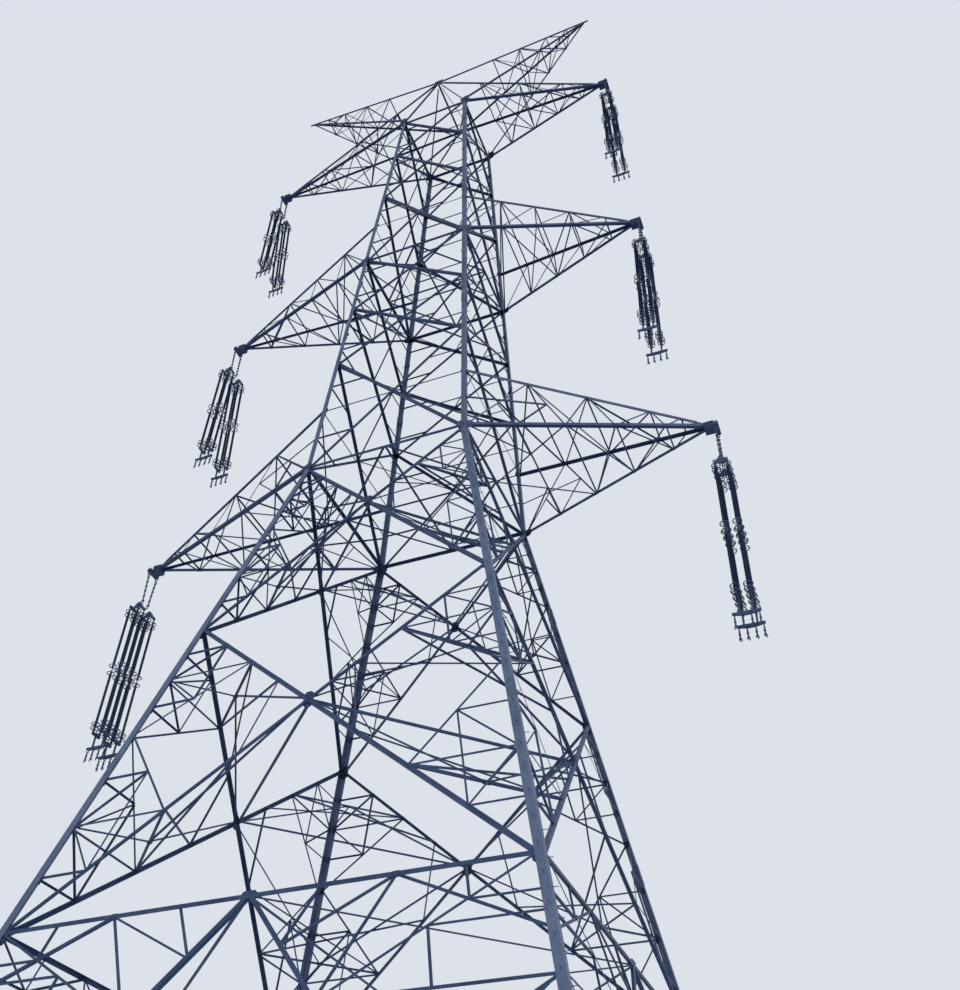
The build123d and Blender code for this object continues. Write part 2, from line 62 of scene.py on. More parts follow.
FOCAL_PIXELS = 1048.84
FRAME_LONG_SIDE = 990
SENSOR = 36.0
VIEW_DEPTH = 200.0

# Colours, linear: the steel and rubber colours hold painted shade, darker and bluer than the parts in
# plain light, as when backlit by a bright sky
SHADED_ZINC_DARK = (0.010, 0.022, 0.070)
SHADED_ZINC_LEG = (0.050, 0.080, 0.158)
SHADED_ZINC_WORN = (0.120, 0.160, 0.250)
SHADED_FITTING_STEEL = (0.024, 0.042, 0.098)
SHADED_SILICONE = (0.012, 0.024, 0.072)
PALE = (0.72, 0.76, 0.82)

# Weathering of the zinc
PATCH_SCALE = 1.7
SPANGLE_SCALE = 38.0
SPANGLE_SHARE = 0.22
GRAIN_SCALE = 160.0
GRAIN_DEPTH = 0.002
WEAR_AT_GROUND = 0.20
WEAR_AT_TOP = -0.16
WEAR_RANGE = (0.38, 0.92)

# Stage
FLOOR_HALF = 150.0
FLOOR_SHADE = 0.95
SKY_ON_TOWER = 0.62
SKY_SEEN = 1.0
LAMP_STRENGTH = 1.5
LAMP_SPREAD = radians(25)
LAMP_TURN = radians(35)
LAMP_TILT = radians(40)

# The body, as in the model
WAIST_Z = 16.770
ARM_PITCH = 8.155
MIDDLE_Z = WAIST_Z + ARM_PITCH
TOP_Z = MIDDLE_Z + ARM_PITCH
PHASE_Z = {"lower": WAIST_Z, "middle": MIDDLE_Z, "top": TOP_Z}
ARM_RISE = {"lower": 1.890, "middle": 1.740}
RIDGE_Z = TOP_Z + 2.290
EARTH_Z = TOP_Z + 5.060
PROP_Z = 0.176  # where the props of the open base start on the legs
BELT_Z = 6.280
LOWER_CROSS_Z = 12.050
UPPER_CROSS_Z = (20.420, 22.685, MIDDLE_Z, 28.340, 30.850)
WAIST_HALF = 1.875
TOP_HALF = 1.097
RIDGE_HALF = 0.984
LEG_FLARE = 0.21
BODY_TAPER = (WAIST_HALF - TOP_HALF) / (TOP_Z - WAIST_Z)
LEG_T = 0.012
LEG_FLANGE = 0.128
GAUGE = 0.088  # from the heel of a leg to its bolt line
MAIN_BAR = 0.064
MAIN_T = 0.006
LAP = 0.0003
EARTH_REACH = {"right": 5.090, "left": 5.757}

# Finer bracing
FINE_BAR = 0.030
MIDDLE_BAR = 0.042
FINE_T = 0.004
BEHIND_MAIN = MAIN_T + LAP
QUARTERS = (0.25, 0.50, 0.75)
STRUT_Z = 5.300  # where the struts from the belt meet the legs
BELT_NODE = 0.47  # of the way along the belt from the leg to its middle
CROSS_LAP = 0.080  # from a face to the level bars behind its crossings
HIP_LAP = 0.020
HIP_INSET = Vector((-0.100, 0.100, 0.0))

# Bolts and plates
SIX_SIDED = 6
EIGHT_SIDED = 8
BOLT_R = 0.0095
BOLT_END = 0.82
BOLT_GRIP = 0.030
BOLT_DEPTH = 0.006
END_BOLT = 0.020  # from the end of a bar
GUSSET_T = 0.006
GUSSET_DEPTH = 0.012
GUSSET_BOLT_DEPTH = -0.004
GUSSET_OUTLINE = ((-0.070, -0.070), (-0.035, -0.110), (0.035, -0.110), (0.070, -0.070),
                  (0.070, 0.070), (0.035, 0.110), (-0.035, 0.110), (-0.070, 0.070))
TWO_ROWS = (0.060, -0.060)
THREE_ROWS = (-0.060, 0.0, 0.060)
WIDE_ROWS = (-0.080, 0.0, 0.080)
FOUR_ROWS = (-0.080, -0.026, 0.026, 0.080)
ONE_COLUMN = (0.0,)
TWO_COLUMNS = (-0.040, 0.040)
WIDE_COLUMNS = (-0.050, 0.050)

# Sizes of the gussets, as shares of the outline above
FAN_PLATE = 0.5
PROP_PLATE = 0.55
NODE_PLATE = 0.6
UPPER_CROSS_PLATE = 0.7
UPPER_LEG_PLATE = 0.8
APEX_PLATE = 1.1
LEG_PLATE = 1.2
LOWER_CROSS_PLATE = 1.3
ROOT_PLATE = 1.5

# Legs and feet
LEG_JOINTS = (3.3, 9.1, 14.6, 21.6, 27.2, 31.9)
COVER_OUTLINE = ((-0.045, -0.200), (0.045, -0.200), (0.045, 0.200), (-0.045, 0.200))
COVER_RAISE = 0.004
COVER_COLUMNS = (-0.022, 0.022)
COVER_ROWS = (-0.160, -0.110, -0.060, 0.060, 0.110, 0.160)
FIRST_PEG = 2.600
PEG_ROOM = 0.300  # left free under the top arms
PEG_PITCH = 0.200
PEG_GAUGE = 0.050
PEG_RADIUS = 0.006
PEG_LENGTH = 0.085
FOOT_INSET = 0.030
FOOT_T = 0.026
ANCHOR_HALF = 0.125
RIB_OUTLINE = ((0.0, 0.0), (0.125, 0.0), (0.125, 0.020), (-0.020, 0.170), (-0.036, 0.170))
NUT_OUTLINE = ((0.0, 0.050), (0.012, 0.050), (0.014, 0.045), (0.014, 0.022), (0.022, 0.020),
               (0.022, 0.004), (0.030, 0.004), (0.030, 0.0), (0.0, 0.0))

# Arms
EARTH_FOOT = 0.156
CHORD_T = 0.007
BEHIND_CHORD = CHORD_T + LAP
CHORD_STIFFENED = 0.93  # of the length of the upper chords
WEB_INSET = 0.012
UNDER_DEPTH = 0.042
OVER_DEPTH = 0.036
CHORD_PLATE_SHIFT = 0.030
LOWER_NODES = ((0.0, 0.2, 0.4, 0.6, 0.8), (0.0, 0.26, 0.5, 0.75, 0.87))
MIDDLE_NODES = (0.0, 0.21, 0.41, 0.61, 0.81)
ARM_NODES = {
    "lower": LOWER_NODES,
    "middle": (MIDDLE_NODES, MIDDLE_NODES),
    "top": LOWER_NODES,
    "earth": ((0.0, 0.42, 0.6, 0.78), (0.0, 0.36, 0.54, 0.72, 0.86)),
}
ARM_COUNTERS = {
    "lower": ([], [(0, 1), (2, 1), (2, 3)]),
    "middle": ([(2, 1), (4, 3)], []),
    "top": ([(2, 1), (2, 3), (4, 3)], [(2, 1), (2, 3)]),
    "earth": ([(2, 1), (2, 3)], [(2, 1), (2, 3), (4, 3)]),
}
SHOE_HALF = 0.100
SHOE_BOLT_STEPS = (0.06, 0.10, 0.14, 0.18, 0.22)
SHOE_BOLT_HEIGHTS = (-0.08, -0.03, 0.02, 0.06)
BEAM_PEG_OUT = 0.020
BEAM_PEG_TOP = 0.045
BEAM_OUTER = 0.065
HANGER_HALF = 0.150

# Insulator sets: angles in degrees, heights below the hanger point
SPLAY = {"lower": 0.0, "middle": 2.2, "top": 2.2}
SWING = {
    "right": {"lower": 1.1, "middle": 1.5, "top": 0.0},
    "left": {"lower": 0.3, "middle": 1.8, "top": 3.0},
}
SET_HALF = 0.200
STRING_X = 0.120
STRING_Y = 0.100
SHACKLE_DROPS = (0.012, 0.097, 0.870)
SHACKLE_PIN = 1.15  # of the thickness of the bow
STRAP_DROP = 0.160
STRAP_LENGTH = 0.720
PAIR_HALF = 0.014  # between the middles of two plates that hang side by side
CHAIN_PINS = (0.170, 0.300, 0.430, 0.560, 0.710, 0.850)
PIN_LENGTH = 0.070
KNOB_OUTLINE = ((0.0, 0.0), (0.020, -0.008), (0.026, -0.024), (0.020, -0.040), (0.0, -0.048))
KNOB_HALF = 0.024
YOKE_TOP = 0.960
YOKE_DEPTH = 0.150
YOKE_T = 0.014
YOKE_TOP_HALF = 0.030
YOKE_EDGE = 0.020
YOKE_FOOT = 0.030
YOKE_ROUND = 0.012
CROSS_DEPTH = 0.060
CROSS_T = 0.008
CROSS_EDGE = 0.028
CLEVIS_DROP = 0.030
CORNER_ROUND = 0.015

# Strings
RODS = ((1.230, 2.850), (2.930, 4.450))
STRING_END = RODS[1][1]
SHED_PITCH = 0.030
SHED_RADIUS = 0.036
SMALL_SHED = 0.86
SHED_TOP = 0.004
SHED_RIM = -0.008
SHED_UNDER = -0.009
CORE_RADIUS = 0.021
CAP_LENGTH = 0.085
CAP_RADIUS = 0.024
CAP_NECK = 0.7
BALL_OUTLINE = ((0.0, 0.0), (0.014, -0.006), (0.014, -0.030), (0.0, -0.036))
BALL_RAISE = 0.030
LOWER_BALL_RAISE = 0.006
LINK_RAISE = 0.010
RINGS = ((1.285, 0.018), (1.400, 0.018), (2.790, 0.0), (2.985, 0.0), (4.260, 0.0), (4.370, 0.0))
RING_RADIUS = 0.085
RING_WIRE = 0.010
SPOKE_START = 0.010
SPOKE_HALF = 0.006

# Fittings under the strings
LOWER_CROSS_DROP = 0.004
LOWER_CLEVIS_RAISE = 0.020
WIRE_YOKE = 4.760
YOKE_REACH = 0.258
WIRE_PLATE_END = 0.050
WIRE_PLATE_DEPTH = 0.085
WIRE_PLATE_FLAT = 0.060
TIE_HALF = 0.011
TIE_DROP = 0.020
HOOK_SHARES = (-0.85, -0.30, 0.30, 0.85)  # of the reach of the wire plate
HOOK_PIN = 0.040
HOOK_ROD_DROP = 0.070
HOOK_KNOBS = (0.130, 0.210)
HOOK_DROP = 0.350
HOOK_RISE = 0.075

# Directions and turns
INWARD = Vector((0.0, 1.0, 0.0))  # from the front face
UP = Vector((0.0, 0.0, 1.0))
ALONG_LINE = Matrix.Rotation(radians(90), 4, "X")
LYING = Matrix.Rotation(radians(-90), 4, "Y")
QUARTER = Matrix.Rotation(radians(90), 4, "Z")
MIRROR_LINE = Matrix.Diagonal((1, -1, 1, 1))
MIRROR_CORNER = QUARTER @ Matrix.Diagonal((-1, 1, 1, 1))  # swaps the front and the right face


def template(name, shape):
    """Keep a finished bmesh as a mesh that can be placed many times."""
    bmesh.ops.recalc_face_normals(shape, faces=shape.faces)
    mesh = bpy.data.meshes.new(name)
    shape.to_mesh(mesh)
    shape.free()
    return mesh


def put(shape, mesh, place):
    """Add a placed copy of a template to a piece under construction."""
    copy = mesh.copy()
    copy.transform(place)
    if place.determinant() < 0:
        copy.flip_normals()
    shape.from_mesh(copy)
    bpy.data.meshes.remove(copy)


def piece(name, shape, finish, slot, *replaced):
    """Turn a bmesh into a piece that rides with the tower."""
    mesh = bpy.data.meshes.new(name)
    shape.to_mesh(mesh)
    shape.free()
    mesh.materials.append(finish)
    made = bpy.data.objects.new(name, mesh)
    bpy.context.scene.collection.objects.link(made)
    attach(made, "root")
    if replaced:
        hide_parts(*replaced)


def at(x, y, z, turn=Matrix()):
    """A place, with a turn before it."""
    return Matrix.Translation((x, y, z)) @ turn


def mix(a, b, share):
    """Point a share of the way from a to b."""
    return a.lerp(b, share)


# Templates
def lathe(name, outline, sides):
    """Template spun about Z from (radius, height) points."""
    shape = bmesh.new()
    points = [shape.verts.new((radius, 0.0, height)) for radius, height in outline]
    edges = [shape.edges.new(pair) for pair in zip(points, points[1:])]
    bmesh.ops.spin(shape, geom=points + edges, axis=(0, 0, 1), cent=(0, 0, 0), angle=radians(360),
                   steps=sides, use_merge=True)
    bmesh.ops.remove_doubles(shape, verts=shape.verts, dist=1e-6)
    return template(name, shape)


def torus(name, radius, wire, sides=20, around=6, sweep=360.0):
    """Template of a round wire bent about Z, closed when the sweep is a full turn."""
    shape = bmesh.new()
    full = sweep >= 360
    bmesh.ops.create_circle(shape, segments=around, radius=wire, cap_ends=not full)
    bmesh.ops.transform(shape, matrix=at(radius, 0, 0, ALONG_LINE), verts=shape.verts)
    bmesh.ops.spin(shape, geom=shape.verts[:] + shape.edges[:] + shape.faces[:], axis=(0, 0, 1),
                   cent=(0, 0, 0), angle=radians(sweep), steps=sides, use_merge=full, use_duplicate=False)
    return template(name, shape)


def pull_out(shape, corners, way):
    """Close a flat outline and pull it out into a solid."""
    face = shape.faces.new([shape.verts.new(corner) for corner in corners])
    grown = bmesh.ops.extrude_face_region(shape, geom=[face])["geom"]
    moved = [item for item in grown if isinstance(item, bmesh.types.BMVert)]
    bmesh.ops.translate(shape, vec=way, verts=moved)


def slab(name, corners, thickness, rounding=0.0):
    """Template of a plate cut to an outline in X and Z, with its upright edges rounded."""
    shape = bmesh.new()
    pull_out(shape, [(x, -thickness / 2, z) for x, z in corners], (0, thickness, 0))
    if rounding:
        ends = ((edge, [vertex.co.y for vertex in edge.verts]) for edge in shape.edges)
        upright = [edge for edge, (a, b) in ends if abs(a - b) > thickness / 2]
        bmesh.ops.bevel(shape, geom=upright, offset=rounding, segments=3, profile=0.5,
                        affect="EDGES", material=-1)
    return template(name, shape)


def section(name, outline):
    """Template of a bar one metre long, standing on its cross-section."""
    shape = bmesh.new()
    pull_out(shape, [(x, y, 0) for x, y in outline], (0, 0, 1))
    return template(name, shape)


def angle_section(name, width, thickness):
    """Angle bar: one flange flat in the face, one standing inward on its edge."""
    half = width / 2
    return section(name, [(-half, 0), (half, 0), (half, thickness), (thickness - half, thickness),
                          (thickness - half, width), (-half, width)])


def standing_flange():
    """The flange that stands inward behind a flat main bar."""
    half = MAIN_BAR / 2
    height = MAIN_BAR - MAIN_T
    return section("flange", [(-half, 0), (MAIN_T - half, 0), (MAIN_T - half, height), (-half, height)])


def round_bar(name, radius, length, sides=EIGHT_SIDED):
    """Template of a plain round pin that hangs from the origin, chamfered at both ends."""
    chamfer = radius / 4
    narrow = radius - chamfer
    outline = [(0.0, 0.0), (narrow, 0.0), (radius, -chamfer), (radius, chamfer - length)]
    return lathe(name, outline + [(narrow, -length), (0.0, -length)], sides)


def bolt_template():
    """Bolt through a joint, six-sided, with a narrower end."""
    shape = bmesh.new()
    bmesh.ops.create_cone(shape, cap_ends=True, segments=SIX_SIDED, radius1=BOLT_R,
                          radius2=BOLT_R * BOLT_END, depth=BOLT_GRIP)
    bmesh.ops.transform(shape, matrix=ALONG_LINE, verts=shape.verts)
    return template("bolt", shape)


# Places on the body
def half_width(z):
    """Half width of the body, at the heels of the legs."""
    if z < WAIST_Z:
        return WAIST_HALF + LEG_FLARE * (WAIST_Z - z)
    return WAIST_HALF - BODY_TAPER * (z - WAIST_Z)


def heel(sx, sy, z):
    """Point on the heel of a leg."""
    return Vector((sx * half_width(z), sy * half_width(z), z))


def inside_leg(z):
    """Point just inside the front-right leg, where the bars of the corner end."""
    return heel(1, -1, z) + HIP_INSET


def on_leg(side, z):
    """Where the bracing of the front face is bolted to a leg."""
    return Vector((side * (half_width(z) - GAUGE), LEG_T + LAP - half_width(z), z))


def on_axis(z):
    """Point of the front face on the axis of the tower."""
    return Vector((0, LEG_T + LAP - half_width(z), z))


def crossing(z_low, z_high):
    """Where the two bars of a cross meet."""
    low = half_width(z_low) - GAUGE
    high = half_width(z_high) - GAUGE
    return on_axis(z_low + (z_high - z_low) * low / (low + high))


# Steelwork of the body
class Steelwork:
    """Angle bars, plates and bolts that are gathered into one piece."""

    def __init__(self, stock):
        self.stock = stock
        self.shape = bmesh.new()

    def add(self, kind, place):
        """One thing from the stock, in its place."""
        put(self.shape, self.stock[kind], place)

    def frame_of(self, a, b, inward):
        """Place at a, with its directions: to the side of the bar to b, inward and along it."""
        run = (b - a).normalized()
        deep = (inward - run * inward.dot(run)).normalized()
        return Matrix.Translation(a) @ Matrix((run.cross(deep) * -1, deep, run)).transposed().to_4x4()

    def bar(self, kind, a, b, inward=INWARD, depth=0.0, bolted=True):
        """An angle bar from a to b with its flat flange outward, bolted at both ends."""
        length = (b - a).length
        place = self.frame_of(a, b, inward) @ at(0, depth, 0)
        self.add(kind, place @ Matrix.Diagonal((1, 1, length, 1)))
        if bolted:
            for along in (END_BOLT, length - END_BOLT):
                self.add("bolt", place @ at(0, BOLT_DEPTH, along))

    def gusset(self, node, along, size, inward=INWARD, depth=GUSSET_DEPTH,
               columns=ONE_COLUMN, rows=TWO_ROWS):
        """A plate at a node, its long side lying along a direction."""
        place = self.frame_of(node, node + along, inward) @ at(0, depth, 0)
        self.add("gusset", place @ Matrix.Diagonal((size, 1, size, 1)))
        for x in columns:
            for z in rows:
                self.add("bolt", place @ at(x * size, GUSSET_BOLT_DEPTH, z * size))


def stock_of_bars():
    """The sections, plates and bolts that the steelwork is made of."""
    return {
        "fine": angle_section("fine_bar", FINE_BAR, FINE_T),
        "middle": angle_section("middle_bar", MIDDLE_BAR, FINE_T),
        "flange": standing_flange(),
        "bolt": bolt_template(),
        "gusset": slab("gusset", GUSSET_OUTLINE, GUSSET_T),
        "cover": slab("cover", COVER_OUTLINE, GUSSET_T),
        "rib": slab("rib", RIB_OUTLINE, GUSSET_T),
        "peg": round_bar("peg", PEG_RADIUS, PEG_LENGTH, SIX_SIDED),
        "nut": lathe("nut", NUT_OUTLINE, SIX_SIDED),
    }


def quarter_fans(steel, end, point, side):
    """Finer bars between a leg and the half of a crossing bar that is bolted to it at one end."""
    start = on_leg(side, end)
    middle = mix(start, point, 0.5)
    level = on_leg(side, point.z)
    half_way = mix(middle, level, 0.5)
    near = mix(start, middle, 0.5)
    leg = [on_leg(side, end + (point.z - end) * share) for share in QUARTERS]
    fan = ((near, leg[0]), (near, leg[1]), (near, half_way), (half_way, leg[1]), (half_way, leg[2]))
    for a, b in fan:
        steel.bar("fine", a, b, depth=BEHIND_MAIN)
    up_leg = on_leg(side, end + 1.0) - start
    for node in (*leg, level):
        steel.gusset(node, up_leg, NODE_PLATE)
    for node in (near, middle, mix(middle, point, 0.5)):
        steel.gusset(node, point - start, FAN_PLATE)
    steel.gusset(start, up_leg, LEG_PLATE, columns=TWO_COLUMNS, rows=FOUR_ROWS)


def level_bar(steel, kind, point, lap):
    """A level bar from behind a crossing of the front face to the same crossing of the next face."""
    start = point + INWARD * lap
    steel.bar(kind, start, QUARTER @ start, inward=UP)


def hip_bars(steel, end, point):
    """Bars across the front-right corner of the body, between the crossing bars of its two faces."""
    start = on_leg(1, end)
    front = mix(start, point, 0.5) + INWARD * HIP_LAP
    front_far = mix(start, point, 0.75) + INWARD * HIP_LAP
    side = MIRROR_CORNER @ front
    side_far = MIRROR_CORNER @ front_far
    hip = mix(front, side, 0.5)
    steel.bar("middle", front, side, inward=UP)
    for a, b in ((hip, inside_leg(front.z)), (hip, point), (hip, QUARTER @ point),
                 (front, side_far), (side, front_far)):
        steel.bar("fine", a, b, inward=UP)
    steel.gusset(hip, front - side, NODE_PLATE, inward=UP, depth=0)


def lower_finer_bracing(steel):
    """Front face between the belt and the waist, and the bars behind it at the front-right corner."""
    for z_low, z_high in ((BELT_Z, LOWER_CROSS_Z), (LOWER_CROSS_Z, WAIST_Z - MAIN_BAR)):
        point = crossing(z_low, z_high)
        steel.gusset(point, UP, LOWER_CROSS_PLATE, columns=TWO_COLUMNS, rows=THREE_ROWS)
        for end in (z_low, z_high):
            for side in (-1, 1):
                quarter_fans(steel, end, point, side)
            hip_bars(steel, end, point)
        for side in (-1, 1):
            low, high = (mix(on_leg(side, end), point, 0.75) for end in (z_low, z_high))
            steel.bar("fine", low, high, depth=BEHIND_MAIN)
        level_bar(steel, "middle", point, CROSS_LAP)


def belt_struts(steel, side):
    """Bars from one half of the belt down to the leg, and on to the upper end of the prop."""
    end, apex = on_leg(side, BELT_Z), on_axis(BELT_Z)
    node = mix(end, apex, BELT_NODE)
    low = on_leg(side, STRUT_Z)
    strut = mix(node, low, 0.5)
    prop = mix(on_leg(side, PROP_Z), apex, 0.75)
    prop_end = mix(prop, apex, 0.5)
    steel.bar("middle", node, low, depth=BEHIND_MAIN)
    for a, b in ((mix(end, node, 0.5), strut), (strut, on_leg(side, (BELT_Z + STRUT_Z) / 2)),
                 (node, prop), (node, prop_end), (mix(node, apex, 0.5), prop_end)):
        steel.bar("fine", a, b, depth=BEHIND_MAIN)
    steel.gusset(node, apex - node, NODE_PLATE)


def prop_bars(steel, side):
    """Bars between a leg and the prop that leans from its foot to the middle of the belt."""
    foot, apex = on_leg(side, PROP_Z), on_axis(BELT_Z)
    props = [mix(foot, apex, share) for share in QUARTERS]
    levels = [prop.z for prop in props] + [BELT_Z]
    for prop, z, above in zip(props, levels, levels[1:]):
        low = on_leg(side, z)
        middle = mix(prop, on_leg(side, above), 0.5)
        steel.bar("fine", middle, on_leg(side, (z + above) / 2), depth=BEHIND_MAIN)
        steel.bar("fine", middle, mix(prop, low, 0.5), depth=BEHIND_MAIN)
        for node in (prop, low):
            steel.gusset(node, apex - foot, PROP_PLATE)


def base_finer_bracing(steel):
    """Open base of the front face, and the bars across its front-right corner."""
    apex = on_axis(BELT_Z)
    for side in (-1, 1):
        belt_struts(steel, side)
        prop_bars(steel, side)
    steel.gusset(apex, Vector((1, 0, 0)), APEX_PLATE, columns=WIDE_COLUMNS, rows=WIDE_ROWS)
    for share in (0.5, 0.75):
        front = mix(on_leg(1, PROP_Z), apex, share) + INWARD * HIP_LAP
        side = MIRROR_CORNER @ front
        steel.bar("middle", front, side, inward=UP)
        steel.bar("fine", mix(front, side, 0.5), inside_leg(front.z), inward=UP)


def upper_panel(steel, z_low, z_high):
    """One cross of the front face: its standing flanges, finer bars and plates."""
    point = crossing(z_low, z_high)
    for side in (-1, 1):
        steel.bar("flange", on_leg(side, z_low), on_leg(-side, z_high), depth=BEHIND_MAIN, bolted=False)
        for end in (z_low, z_high):
            start = on_leg(side, end)
            middle = mix(start, point, 0.5)
            steel.bar("fine", middle, on_leg(side, middle.z), depth=BEHIND_MAIN)
            steel.gusset(start, UP, UPPER_LEG_PLATE)
        steel.gusset(on_leg(side, point.z), UP, NODE_PLATE)
    steel.gusset(point, UP, UPPER_CROSS_PLATE)
    level_bar(steel, "fine", point, HIP_LAP)


def upper_finer_bracing(steel):
    """Front face between the waist and the top arms."""
    levels = [WAIST_Z + MAIN_BAR / 2, *UPPER_CROSS_Z, TOP_Z - MAIN_BAR / 2]
    for z_low, z_high in zip(levels, levels[1:]):
        upper_panel(steel, z_low, z_high)


def step_pegs(steel, sx, sy):
    """Climbing pegs up one leg, in turn on its two flanges."""
    count = int((TOP_Z - PEG_ROOM - FIRST_PEG) / PEG_PITCH) + 1
    for number in range(count):
        corner = heel(sx, sy, FIRST_PEG + number * PEG_PITCH)
        if number % 2:
            turn = Matrix.Rotation(radians(90 * sy), 4, "X")
            spot = corner + Vector((-sx * PEG_GAUGE, 0, 0))
        else:
            turn = Matrix.Rotation(radians(-90 * sx), 4, "Y")
            spot = corner + Vector((0, -sy * PEG_GAUGE, 0))
        steel.add("peg", Matrix.Translation(spot) @ turn)


def leg_covers(steel):
    """Cover plates where the lengths of the front-right leg are joined, on both of its flanges."""
    half = LEG_FLANGE / 2
    flanges = ((Vector((-half, 0, 0)), INWARD), (Vector((0, half, 0)), Vector((-1, 0, 0))))
    for z in LEG_JOINTS:
        joint = heel(1, -1, z)
        along = heel(1, -1, z + 1) - joint
        for shift, inward in flanges:
            spot = joint + shift
            place = steel.frame_of(spot, spot + along, inward) @ at(0, -COVER_RAISE, 0)
            steel.add("cover", place)
            for x in COVER_COLUMNS:
                for row in COVER_ROWS:
                    steel.add("bolt", place @ at(x, COVER_RAISE, row))


def foot_fittings(steel):
    """Ribs and anchor nuts on the front-right base plate."""
    centre = half_width(0) - FOOT_INSET
    for x in (-ANCHOR_HALF, ANCHOR_HALF):
        for y in (-ANCHOR_HALF, ANCHOR_HALF):
            steel.add("nut", at(centre + x, -centre + y, FOOT_T))
    low = half_width(FOOT_T)
    steel.add("rib", at(low, -low + LEG_FLANGE / 2, FOOT_T))
    steel.add("rib", at(low - LEG_FLANGE / 2, -low, FOOT_T, QUARTER.inverted()))


def turned_round(name, single, finish, slot):
    """A piece made of the front part and its three copies round the tower."""
    mesh = template(name, single)
    whole = bmesh.new()
    for turns in range(4):
        put(whole, mesh, Matrix.Rotation(radians(90 * turns), 4, "Z"))
    bpy.data.meshes.remove(mesh)
    piece(name, whole, finish, slot)


def body_steelwork(stock, finishes):
    """Everything that is bolted to the square tower."""
    parts = (
        ("base_finer_bracing", "lattice_steel", base_finer_bracing),
        ("lower_finer_bracing", "lattice_steel", lower_finer_bracing),
        ("upper_finer_bracing", "lattice_steel", upper_finer_bracing),
        ("leg_covers", "leg_steel", leg_covers),
        ("foot_fittings", "leg_steel", foot_fittings),
    )
    for name, slot, build in parts:
        steel = Steelwork(stock)
        build(steel)
        turned_round(name, steel.shape, finishes[slot], slot)
    steel = Steelwork(stock)
    for corner in (1, -1):
        step_pegs(steel, corner, -corner)
    piece("step_pegs", steel.shape, finishes["leg_steel"], "leg_steel")


# Arms
def hanger_place(phase, side):
    """How far out an arm carries its hangers, and the height of its underside."""
    low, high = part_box(f"arm_{phase}_{side}")
    outer = high.x if side == "right" else -low.x
    return outer - BEAM_OUTER, low.z


class Arm:
    """Places on one arm: the nodes of its front chords and its tip."""

    def __init__(self, phase, side):
        self.phase = phase
        self.sign = 1 if side == "right" else -1
        if phase == "earth":
            self.tip = Vector((self.sign * EARTH_REACH[side], 0, EARTH_Z))
            root = heel(self.sign, -1, TOP_Z) + UP * EARTH_FOOT
        else:
            reach, _ = hanger_place(phase, side)
            self.tip = Vector((self.sign * reach, 0, PHASE_Z[phase]))
            root = heel(self.sign, -1, PHASE_Z[phase])
        if phase in ARM_RISE:
            high_root = heel(self.sign, -1, PHASE_Z[phase] + ARM_RISE[phase])
        else:
            high_root = Vector((0, -RIDGE_HALF, RIDGE_Z))
        lower, upper = ARM_NODES[phase]
        self.low = [mix(root, self.tip, share) for share in lower]
        self.high = [mix(high_root, self.tip, share) for share in upper]


def arm_side_bars(steel, arm):
    """Finer bars on the front side of an arm, and the second angle of its upper chord."""
    low, high = arm.low, arm.high
    joint = mix(high[1], low[2], 0.5)
    root_middle = mix(low[0], high[0], 0.5)
    web_middle = mix(low[0], high[1], 0.5)
    bars = {
        "top": ((joint, low[1]), (high[1], low[1])),
        "lower": ((joint, low[1]), (web_middle, low[1]), (joint, root_middle)),
    }
    for a, b in bars.get(arm.phase, ()):
        steel.bar("fine", a, b, depth=BEHIND_CHORD)
    if arm.phase != "earth":
        steel.bar("middle", high[0], mix(high[0], arm.tip, CHORD_STIFFENED), depth=BEHIND_CHORD)


def arm_side_plates(steel, arm):
    """Plates at the nodes of the front chords of an arm."""
    shift = UP * CHORD_PLATE_SHIFT
    sizes = [ROOT_PLATE] + [NODE_PLATE] * (len(arm.low) - 1)
    for node, size in zip(arm.low, sizes):
        steel.gusset(node + shift, arm.tip - arm.low[0], size, depth=BEHIND_CHORD, rows=FOUR_ROWS)
    for node in arm.high[1:]:
        steel.gusset(node - shift, arm.tip - arm.high[0], FAN_PLATE, depth=BEHIND_CHORD)


def arm_across(steel, arm):
    """Struts and second diagonals between the front and the back of an arm."""
    under, over = ARM_COUNTERS[arm.phase]
    lap = INWARD * WEB_INSET
    levels = ((arm.low, under, UP, UNDER_DEPTH), (arm.high, over, -UP, OVER_DEPTH))
    for nodes, pairs, inward, depth in levels:
        struts = [(node + lap, node + lap) for node in nodes[1:]]
        diagonals = [(nodes[a], nodes[b]) for a, b in pairs]
        for front, back in struts + diagonals:
            steel.bar("fine", front, MIRROR_LINE @ back, inward=inward, depth=depth, bolted=False)


def shoe_fittings(steel, arm):
    """Bolts through the box at the tip, and the pegs on the beam of the hangers."""
    x, z = arm.tip.x, arm.tip.z
    for step in SHOE_BOLT_STEPS:
        for height in SHOE_BOLT_HEIGHTS:
            for y in (-SHOE_HALF, SHOE_HALF):
                steel.add("bolt", at(x - arm.sign * step, y, z + height))
    for y in (-HANGER_HALF, 0, HANGER_HALF):
        steel.add("peg", at(x + arm.sign * BEAM_PEG_OUT, y, z + BEAM_PEG_TOP))


def arms(stock, finishes):
    """Finer steelwork of the eight arms."""
    for side in ("right", "left"):
        for phase in ARM_NODES:
            arm = Arm(phase, side)
            half = Steelwork(stock)
            arm_side_bars(half, arm)
            arm_side_plates(half, arm)
            mesh = template("arm_side", half.shape)
            whole = Steelwork(stock)
            for place in (Matrix(), MIRROR_LINE):
                put(whole.shape, mesh, place)
            arm_across(whole, arm)
            if phase != "earth":
                shoe_fittings(whole, arm)
            piece(f"arm_finer_bracing_{phase}_{side}", whole.shape, finishes["lattice_steel"],
                  "lattice_steel")


